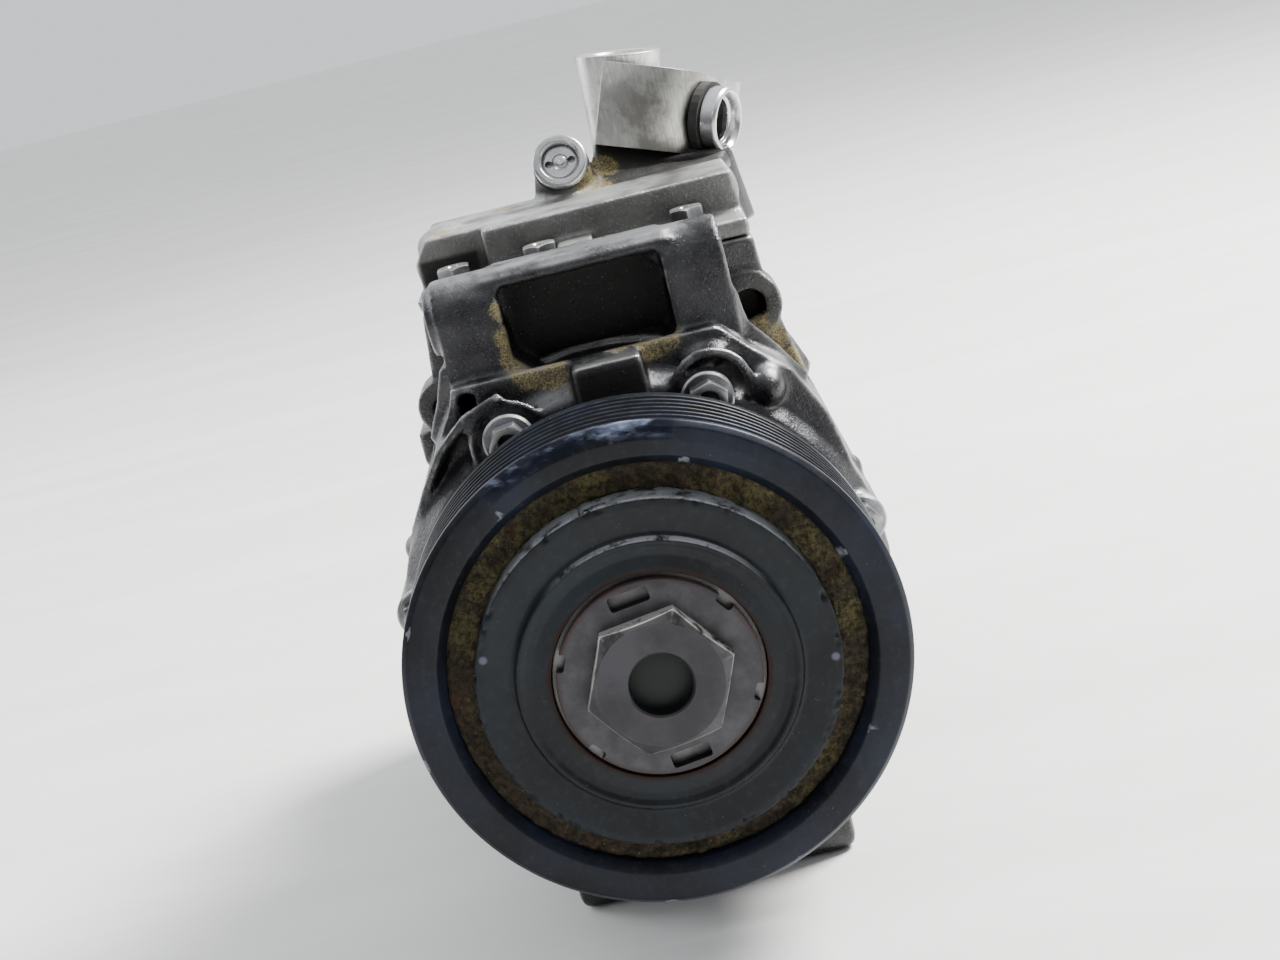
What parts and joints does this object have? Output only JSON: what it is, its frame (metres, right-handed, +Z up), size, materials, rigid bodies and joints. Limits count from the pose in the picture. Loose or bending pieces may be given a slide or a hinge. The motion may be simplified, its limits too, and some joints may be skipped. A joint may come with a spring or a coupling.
{
  "type": "automotive air conditioning compressor",
  "caption": "Belt-driven swash-plate refrigerant compressor: grooved pulley with damper hub, cast housings with a top bracket, lower lugs, a relief valve and an angled port block.",
  "frame": {"origin": "bottom centre of the bounding box: x on the shaft axis, y half way along the unit, z on the plane of the lower feet", "axes": "+Y along the drive shaft from the pulley towards the rear housing, +Z up from the feet to the top bracket and the port block, +X to the right when facing the pulley"},
  "size_m": [0.1156, 0.2214, 0.1961],
  "materials": {
    "black_paint": "worn semi-gloss black coating",
    "black_moulding": "moulded, slightly satin",
    "rubber": "dull",
    "hub_steel": "turned, lightly rusted",
    "bearing_steel": "ground and polished",
    "brass": "turned",
    "cast_aluminium": "rough sand-cast surface, dull and oily",
    "spring_steel": "blued",
    "bolt_steel": "plated and dirty",
    "cover_aluminium": "grainy as-cast surface",
    "bright_steel": "bright turned",
    "machined_aluminium": "milled, fine straight tool marks",
    "ground_steel": "ground",
    "cast_iron": "machined on its faces"
  },
  "bodies": {
    "casing": {"bearing_inner_ring": "bearing_steel", "bearing_circlip": "bearing_steel", "front_housing": "cast_aluminium", "cylinder_block": "cast_aluminium", "rear_housing": "cast_aluminium", "reed_plate": "spring_steel", "valve_plate": "hub_steel", "through_bolt_1": "bolt_steel", "through_bolt_2": "bolt_steel", "through_bolt_3": "bolt_steel", "through_bolt_4": "bolt_steel", "through_bolt_5": "bolt_steel", "through_bolt_6": "bolt_steel", "through_bolt_7": "bolt_steel", "top_cover": "cover_aluminium", "cover_bolt_1": "bolt_steel", "cover_bolt_2": "bolt_steel", "cover_bolt_3": "bolt_steel", "relief_valve": "bright_steel", "relief_valve_insert": "bright_steel", "port_block": "machined_aluminium", "port_seal": "rubber", "port_sleeve": "bright_steel", "control_valve": "black_moulding", "shaft_seal": "rubber", "front_bearing": "bearing_steel", "rear_bearing": "bearing_steel"},
    "drive": {"pulley_rim": "black_paint", "damper_ring": "black_moulding", "damper_rubber": "rubber", "limiter_plate": "hub_steel", "hub_nut": "hub_steel", "drive_shaft": "ground_steel", "lug_plate": "cast_iron", "bearing_outer_ring": "bearing_steel", "return_spring": "spring_steel"},
    "cage": {"ball_cage": "brass"},
    "sleeve": {"swash_sleeve": "ground_steel"},
    "swash": {"swash_plate": "cast_iron"},
    "piston_1": {"piston_1": "machined_aluminium"},
    "shoes_1": {"rear_shoe_1": "bearing_steel", "front_shoe_1": "bearing_steel"},
    "piston_2": {"piston_2": "machined_aluminium"},
    "shoes_2": {"rear_shoe_2": "bearing_steel", "front_shoe_2": "bearing_steel"},
    "piston_3": {"piston_3": "machined_aluminium"},
    "shoes_3": {"rear_shoe_3": "bearing_steel", "front_shoe_3": "bearing_steel"},
    "piston_4": {"piston_4": "machined_aluminium"},
    "shoes_4": {"rear_shoe_4": "bearing_steel", "front_shoe_4": "bearing_steel"},
    "piston_5": {"piston_5": "machined_aluminium"},
    "shoes_5": {"rear_shoe_5": "bearing_steel", "front_shoe_5": "bearing_steel"},
    "piston_6": {"piston_6": "machined_aluminium"},
    "shoes_6": {"rear_shoe_6": "bearing_steel", "front_shoe_6": "bearing_steel"},
    "piston_7": {"piston_7": "machined_aluminium"},
    "shoes_7": {"rear_shoe_7": "bearing_steel", "front_shoe_7": "bearing_steel"}
  },
  "joints": [
    {"name": "drive_spin", "type": "hinge", "parent": "casing", "child": "drive", "pos_m": [0, -0.10225, 0.0755], "axis": [0, 1, 0], "continuous": true},
    {"name": "cage_spin", "type": "hinge", "parent": "casing", "child": "cage", "pos_m": [0, -0.10225, 0.0755], "axis": [0, 1, 0], "continuous": true},
    {"name": "sleeve_slide", "type": "slide", "parent": "casing", "child": "sleeve", "axis": [0, 1, 0], "range_m": [-0.01, 0]},
    {"name": "swash_tilt", "type": "hinge", "parent": "sleeve", "child": "swash", "pos_m": [0, -0.01625, 0.0755], "axis": [-0.901, 0, 0.4339], "range_deg": [0, 16]},
    {"name": "piston_1_slide", "type": "slide", "parent": "casing", "child": "piston_1", "axis": [0, 1, 0], "range_m": [-0.00103, 0]},
    {"name": "piston_2_slide", "type": "slide", "parent": "casing", "child": "piston_2", "axis": [0, 1, 0], "range_m": [-0.00103, 0]},
    {"name": "piston_3_slide", "type": "slide", "parent": "casing", "child": "piston_3", "axis": [0, 1, 0], "range_m": [-0.00774, 0]},
    {"name": "piston_4_slide", "type": "slide", "parent": "casing", "child": "piston_4", "axis": [0, 1, 0], "range_m": [-0.01611, 0]},
    {"name": "piston_5_slide", "type": "slide", "parent": "casing", "child": "piston_5", "axis": [0, 1, 0], "range_m": [-0.01983, 0]},
    {"name": "piston_6_slide", "type": "slide", "parent": "casing", "child": "piston_6", "axis": [0, 1, 0], "range_m": [-0.01611, 0]},
    {"name": "piston_7_slide", "type": "slide", "parent": "casing", "child": "piston_7", "axis": [0, 1, 0], "range_m": [-0.00774, 0]},
    {"name": "shoe_1_swivel", "type": "hinge", "parent": "piston_1", "child": "shoes_1", "pos_m": [0, -0.01625, 0.11], "axis": [-0.901, 0, 0.4339], "range_deg": [0, 16]},
    {"name": "shoe_2_swivel", "type": "hinge", "parent": "piston_2", "child": "shoes_2", "pos_m": [0.02697, -0.01625, 0.09701], "axis": [-0.901, 0, 0.4339], "range_deg": [0, 16]},
    {"name": "shoe_3_swivel", "type": "hinge", "parent": "piston_3", "child": "shoes_3", "pos_m": [0.03363, -0.01625, 0.06782], "axis": [-0.901, 0, 0.4339], "range_deg": [0, 16]},
    {"name": "shoe_4_swivel", "type": "hinge", "parent": "piston_4", "child": "shoes_4", "pos_m": [0.01497, -0.01625, 0.04442], "axis": [-0.901, 0, 0.4339], "range_deg": [0, 16]},
    {"name": "shoe_5_swivel", "type": "hinge", "parent": "piston_5", "child": "shoes_5", "pos_m": [-0.01497, -0.01625, 0.04442], "axis": [-0.901, 0, 0.4339], "range_deg": [0, 16]},
    {"name": "shoe_6_swivel", "type": "hinge", "parent": "piston_6", "child": "shoes_6", "pos_m": [-0.03363, -0.01625, 0.06782], "axis": [-0.901, 0, 0.4339], "range_deg": [0, 16]},
    {"name": "shoe_7_swivel", "type": "hinge", "parent": "piston_7", "child": "shoes_7", "pos_m": [-0.02697, -0.01625, 0.09701], "axis": [-0.901, 0, 0.4339], "range_deg": [0, 16]}
  ],
  "couplings": [
    {"joint": "cage_spin", "follows": "drive_spin", "ratio": 0.58},
    {"joint": "sleeve_slide", "follows": "swash_tilt", "m_per_rad": -0.035426},
    {"joint": "piston_1_slide", "follows": "swash_tilt", "m_per_rad": -0.003508},
    {"joint": "piston_2_slide", "follows": "swash_tilt", "m_per_rad": -0.003508},
    {"joint": "piston_3_slide", "follows": "swash_tilt", "m_per_rad": -0.027543},
    {"joint": "piston_4_slide", "follows": "swash_tilt", "m_per_rad": -0.057513},
    {"joint": "piston_5_slide", "follows": "swash_tilt", "m_per_rad": -0.070851},
    {"joint": "piston_6_slide", "follows": "swash_tilt", "m_per_rad": -0.057513},
    {"joint": "piston_7_slide", "follows": "swash_tilt", "m_per_rad": -0.027543},
    {"joint": "shoe_1_swivel", "follows": "swash_tilt", "ratio": 1},
    {"joint": "shoe_2_swivel", "follows": "swash_tilt", "ratio": 1},
    {"joint": "shoe_3_swivel", "follows": "swash_tilt", "ratio": 1},
    {"joint": "shoe_4_swivel", "follows": "swash_tilt", "ratio": 1},
    {"joint": "shoe_5_swivel", "follows": "swash_tilt", "ratio": 1},
    {"joint": "shoe_6_swivel", "follows": "swash_tilt", "ratio": 1},
    {"joint": "shoe_7_swivel", "follows": "swash_tilt", "ratio": 1}
  ]
}
